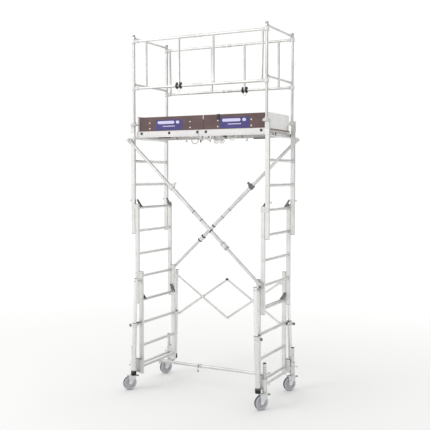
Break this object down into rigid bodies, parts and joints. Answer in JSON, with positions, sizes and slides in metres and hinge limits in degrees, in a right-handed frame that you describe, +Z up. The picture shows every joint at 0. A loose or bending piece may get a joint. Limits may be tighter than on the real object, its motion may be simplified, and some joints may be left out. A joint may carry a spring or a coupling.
{
  "type": "mobile tower scaffold",
  "caption": "Mobile tower scaffold: telescoping ladder ends on braked casters, diagonal braces, a decked platform with hatch, guard rails and toe boards.",
  "frame": {"origin": "centre of the tower's outline on the ground", "axes": "+X along the deck towards the end with the hatch, +Y across the tower from front to back, +Z up"},
  "size_m": [1.6974, 0.949, 3.83],
  "materials": {
    "ladder_aluminium": "satin extruded",
    "guard_aluminium": "satin tube",
    "deck_frame_aluminium": "light satin",
    "film_faced_plywood": "film faced, slight sheen",
    "end_board_aluminium": "satin sheet",
    "brace_aluminium": "satin tube",
    "stabiliser_steel": "bright plated",
    "zinc_steel": "zinc plated",
    "wheel_rubber": "grey, matte",
    "black_plastic": "moulded"
  },
  "bodies": {
    "base": {"base_ladder_left": "ladder_aluminium", "base_ladder_right": "ladder_aluminium", "base_strut": "guard_aluminium", "scissor_bar_left_falling": "guard_aluminium", "scissor_bar_left_rising": "guard_aluminium", "scissor_bar_right_falling": "guard_aluminium", "scissor_bar_right_rising": "guard_aluminium"},
    "upper": {"deck_board_left": "film_faced_plywood", "deck_board_right": "film_faced_plywood", "deck_frame_left": "deck_frame_aluminium", "deck_frame_right": "deck_frame_aluminium", "end_guard_left": "guard_aluminium", "end_guard_right": "guard_aluminium", "side_guard_back_left": "guard_aluminium", "side_guard_back_right": "guard_aluminium", "side_guard_front_left": "guard_aluminium", "side_guard_front_right": "guard_aluminium", "toe_board_back_left": "film_faced_plywood", "toe_board_back_right": "film_faced_plywood", "toe_board_end_left": "end_board_aluminium", "toe_board_end_right": "end_board_aluminium", "toe_board_front_left": "film_faced_plywood", "toe_board_front_right": "film_faced_plywood", "upper_ladder_left": "ladder_aluminium", "upper_ladder_right": "ladder_aluminium"},
    "mid_left": {"mid_ladder_left": "ladder_aluminium"},
    "mid_right": {"mid_ladder_right": "ladder_aluminium"},
    "hatch": {"hatch": "film_faced_plywood"},
    "brace_upper_front": {"brace_upper_front": "brace_aluminium"},
    "brace_lower_front": {"brace_lower_front": "brace_aluminium"},
    "brace_upper_back": {"brace_upper_back": "brace_aluminium"},
    "brace_lower_back": {"brace_lower_back": "brace_aluminium"},
    "leg_front_left": {"leg_front_left": "ladder_aluminium"},
    "caster_fork_front_left": {"caster_fork_front_left": "zinc_steel"},
    "caster_wheel_front_left": {"caster_wheel_front_left": "wheel_rubber"},
    "brake_pedal_front_left": {"brake_pedal_front_left": "black_plastic"},
    "stabiliser_arm_front_left": {"stabiliser_arm_front_left": "stabiliser_steel"},
    "stabiliser_leg_front_left": {"stabiliser_leg_front_left": "stabiliser_steel"},
    "leg_back_left": {"leg_back_left": "ladder_aluminium"},
    "caster_fork_back_left": {"caster_fork_back_left": "zinc_steel"},
    "caster_wheel_back_left": {"caster_wheel_back_left": "wheel_rubber"},
    "brake_pedal_back_left": {"brake_pedal_back_left": "black_plastic"},
    "stabiliser_arm_back_left": {"stabiliser_arm_back_left": "stabiliser_steel"},
    "stabiliser_leg_back_left": {"stabiliser_leg_back_left": "stabiliser_steel"},
    "leg_front_right": {"leg_front_right": "ladder_aluminium"},
    "caster_fork_front_right": {"caster_fork_front_right": "zinc_steel"},
    "caster_wheel_front_right": {"caster_wheel_front_right": "wheel_rubber"},
    "brake_pedal_front_right": {"brake_pedal_front_right": "black_plastic"},
    "stabiliser_arm_front_right": {"stabiliser_arm_front_right": "stabiliser_steel"},
    "stabiliser_leg_front_right": {"stabiliser_leg_front_right": "stabiliser_steel"},
    "leg_back_right": {"leg_back_right": "ladder_aluminium"},
    "caster_fork_back_right": {"caster_fork_back_right": "zinc_steel"},
    "caster_wheel_back_right": {"caster_wheel_back_right": "wheel_rubber"},
    "brake_pedal_back_right": {"brake_pedal_back_right": "black_plastic"},
    "stabiliser_arm_back_right": {"stabiliser_arm_back_right": "stabiliser_steel"},
    "stabiliser_leg_back_right": {"stabiliser_leg_back_right": "stabiliser_steel"},
    "rung_latch_base_left": {"rung_latch_base_left": "black_plastic"},
    "rung_latch_base_right": {"rung_latch_base_right": "black_plastic"},
    "rung_latch_mid_left": {"rung_latch_mid_left": "black_plastic"},
    "rung_latch_mid_right": {"rung_latch_mid_right": "black_plastic"}
  },
  "joints": [
    {"name": "height", "type": "slide", "parent": "base", "child": "upper", "axis": [0, 0, 1], "range_m": [-1.25, 0]},
    {"name": "mid_height_left", "type": "slide", "parent": "base", "child": "mid_left", "axis": [0, 0, 1], "range_m": [-0.6, 0]},
    {"name": "mid_height_right", "type": "slide", "parent": "base", "child": "mid_right", "axis": [0, 0, 1], "range_m": [-0.6, 0]},
    {"name": "brace_swing_front", "type": "hinge", "parent": "upper", "child": "brace_upper_front", "pos_m": [-0.80722, -0.37452, 2.706], "axis": [0, -1, 0], "range_deg": [0, 35.27]},
    {"name": "brace_length_front", "type": "slide", "parent": "brace_upper_front", "child": "brace_lower_front", "axis": [-0.7255, 0, 0.6882], "range_m": [0, 0.57287]},
    {"name": "brace_swing_back", "type": "hinge", "parent": "upper", "child": "brace_upper_back", "pos_m": [0.82278, 0.38548, 2.706], "axis": [0, 1, 0], "range_deg": [0, 35.27]},
    {"name": "brace_length_back", "type": "slide", "parent": "brace_upper_back", "child": "brace_lower_back", "axis": [0.7255, 0, 0.6882], "range_m": [0, 0.57287]},
    {"name": "hatch_hinge", "type": "hinge", "parent": "upper", "child": "hatch", "pos_m": [0.44778, -0.22952, 2.8012], "axis": [1, 0, 0], "range_deg": [0, 95]},
    {"name": "leg_adjust_front_left", "type": "slide", "parent": "base", "child": "leg_front_left", "axis": [0, 0, 1], "range_m": [-0.15, 0]},
    {"name": "caster_swivel_front_left", "type": "hinge", "parent": "leg_front_left", "child": "caster_fork_front_left", "pos_m": [-0.77222, -0.37452, 0.16], "axis": [0, 0, 1], "continuous": true},
    {"name": "wheel_spin_front_left", "type": "hinge", "parent": "caster_fork_front_left", "child": "caster_wheel_front_left", "pos_m": [-0.79516, -0.40729, 0.075], "axis": [0.8192, -0.5736, 0], "continuous": true},
    {"name": "brake_front_left", "type": "hinge", "parent": "caster_fork_front_left", "child": "brake_pedal_front_left", "pos_m": [-0.76304, -0.36142, 0.143], "axis": [-0.8192, 0.5736, 0], "range_deg": [0, 12]},
    {"name": "stabiliser_swing_front_left", "type": "hinge", "parent": "base", "child": "stabiliser_arm_front_left", "pos_m": [-0.69222, -0.43452, 1.195], "axis": [0, 1, 0], "range_deg": [0, 40]},
    {"name": "stabiliser_extend_front_left", "type": "slide", "parent": "stabiliser_arm_front_left", "child": "stabiliser_leg_front_left", "axis": [-0.0342, 0, -0.9994], "range_m": [-0.34, 0]},
    {"name": "leg_adjust_back_left", "type": "slide", "parent": "base", "child": "leg_back_left", "axis": [0, 0, 1], "range_m": [-0.15, 0]},
    {"name": "caster_swivel_back_left", "type": "hinge", "parent": "leg_back_left", "child": "caster_fork_back_left", "pos_m": [-0.77222, 0.38548, 0.16], "axis": [0, 0, 1], "continuous": true},
    {"name": "wheel_spin_back_left", "type": "hinge", "parent": "caster_fork_back_left", "child": "caster_wheel_back_left", "pos_m": [-0.79516, 0.35271, 0.075], "axis": [0.8192, -0.5736, 0], "continuous": true},
    {"name": "brake_back_left", "type": "hinge", "parent": "caster_fork_back_left", "child": "brake_pedal_back_left", "pos_m": [-0.76304, 0.39858, 0.143], "axis": [-0.8192, 0.5736, 0], "range_deg": [0, 12]},
    {"name": "stabiliser_swing_back_left", "type": "hinge", "parent": "base", "child": "stabiliser_arm_back_left", "pos_m": [-0.69222, 0.44548, 1.195], "axis": [0, 1, 0], "range_deg": [0, 40]},
    {"name": "stabiliser_extend_back_left", "type": "slide", "parent": "stabiliser_arm_back_left", "child": "stabiliser_leg_back_left", "axis": [-0.0342, 0, -0.9994], "range_m": [-0.34, 0]},
    {"name": "leg_adjust_front_right", "type": "slide", "parent": "base", "child": "leg_front_right", "axis": [0, 0, 1], "range_m": [-0.15, 0]},
    {"name": "caster_swivel_front_right", "type": "hinge", "parent": "leg_front_right", "child": "caster_fork_front_right", "pos_m": [0.78778, -0.37452, 0.16], "axis": [0, 0, 1], "continuous": true},
    {"name": "wheel_spin_front_right", "type": "hinge", "parent": "caster_fork_front_right", "child": "caster_wheel_front_right", "pos_m": [0.76484, -0.40729, 0.075], "axis": [0.8192, -0.5736, 0], "continuous": true},
    {"name": "brake_front_right", "type": "hinge", "parent": "caster_fork_front_right", "child": "brake_pedal_front_right", "pos_m": [0.79696, -0.36142, 0.143], "axis": [-0.8192, 0.5736, 0], "range_deg": [0, 12]},
    {"name": "stabiliser_swing_front_right", "type": "hinge", "parent": "base", "child": "stabiliser_arm_front_right", "pos_m": [0.70778, -0.43452, 1.195], "axis": [0, -1, 0], "range_deg": [0, 40]},
    {"name": "stabiliser_extend_front_right", "type": "slide", "parent": "stabiliser_arm_front_right", "child": "stabiliser_leg_front_right", "axis": [0.0342, 0, -0.9994], "range_m": [-0.34, 0]},
    {"name": "leg_adjust_back_right", "type": "slide", "parent": "base", "child": "leg_back_right", "axis": [0, 0, 1], "range_m": [-0.15, 0]},
    {"name": "caster_swivel_back_right", "type": "hinge", "parent": "leg_back_right", "child": "caster_fork_back_right", "pos_m": [0.78778, 0.38548, 0.16], "axis": [0, 0, 1], "continuous": true},
    {"name": "wheel_spin_back_right", "type": "hinge", "parent": "caster_fork_back_right", "child": "caster_wheel_back_right", "pos_m": [0.76484, 0.35271, 0.075], "axis": [0.8192, -0.5736, 0], "continuous": true},
    {"name": "brake_back_right", "type": "hinge", "parent": "caster_fork_back_right", "child": "brake_pedal_back_right", "pos_m": [0.79696, 0.39858, 0.143], "axis": [-0.8192, 0.5736, 0], "range_deg": [0, 12]},
    {"name": "stabiliser_swing_back_right", "type": "hinge", "parent": "base", "child": "stabiliser_arm_back_right", "pos_m": [0.70778, 0.44548, 1.195], "axis": [0, -1, 0], "range_deg": [0, 40]},
    {"name": "stabiliser_extend_back_right", "type": "slide", "parent": "stabiliser_arm_back_right", "child": "stabiliser_leg_back_right", "axis": [0.0342, 0, -0.9994], "range_m": [-0.34, 0]},
    {"name": "rung_latch_base_left", "type": "hinge", "parent": "base", "child": "rung_latch_base_left", "pos_m": [-0.65922, 0.00548, 0.99], "axis": [0, 1, 0], "range_deg": [0, 35], "stiffness_Nm_per_rad": 0.6, "springref_deg": -20.05},
    {"name": "rung_latch_base_right", "type": "hinge", "parent": "base", "child": "rung_latch_base_right", "pos_m": [0.67478, 0.00548, 0.99], "axis": [0, -1, 0], "range_deg": [0, 35], "stiffness_Nm_per_rad": 0.6, "springref_deg": -20.05},
    {"name": "rung_latch_mid_left", "type": "hinge", "parent": "mid_left", "child": "rung_latch_mid_left", "pos_m": [-0.70522, 0.00548, 1.99], "axis": [0, 1, 0], "range_deg": [0, 35], "stiffness_Nm_per_rad": 0.6, "springref_deg": -20.05},
    {"name": "rung_latch_mid_right", "type": "hinge", "parent": "mid_right", "child": "rung_latch_mid_right", "pos_m": [0.72078, 0.00548, 1.99], "axis": [0, -1, 0], "range_deg": [0, 35], "stiffness_Nm_per_rad": 0.6, "springref_deg": -20.05}
  ],
  "couplings": [
    {"joint": "mid_height_left", "follows": "height", "ratio": 0.48},
    {"joint": "mid_height_right", "follows": "height", "ratio": 0.48},
    {"joint": "brace_swing_front", "follows": "height", "rad_per_m": -0.49183},
    {"joint": "brace_length_front", "follows": "height", "ratio": -0.45789},
    {"joint": "brace_swing_back", "follows": "height", "rad_per_m": -0.49183},
    {"joint": "brace_length_back", "follows": "height", "ratio": -0.45789}
  ]
}
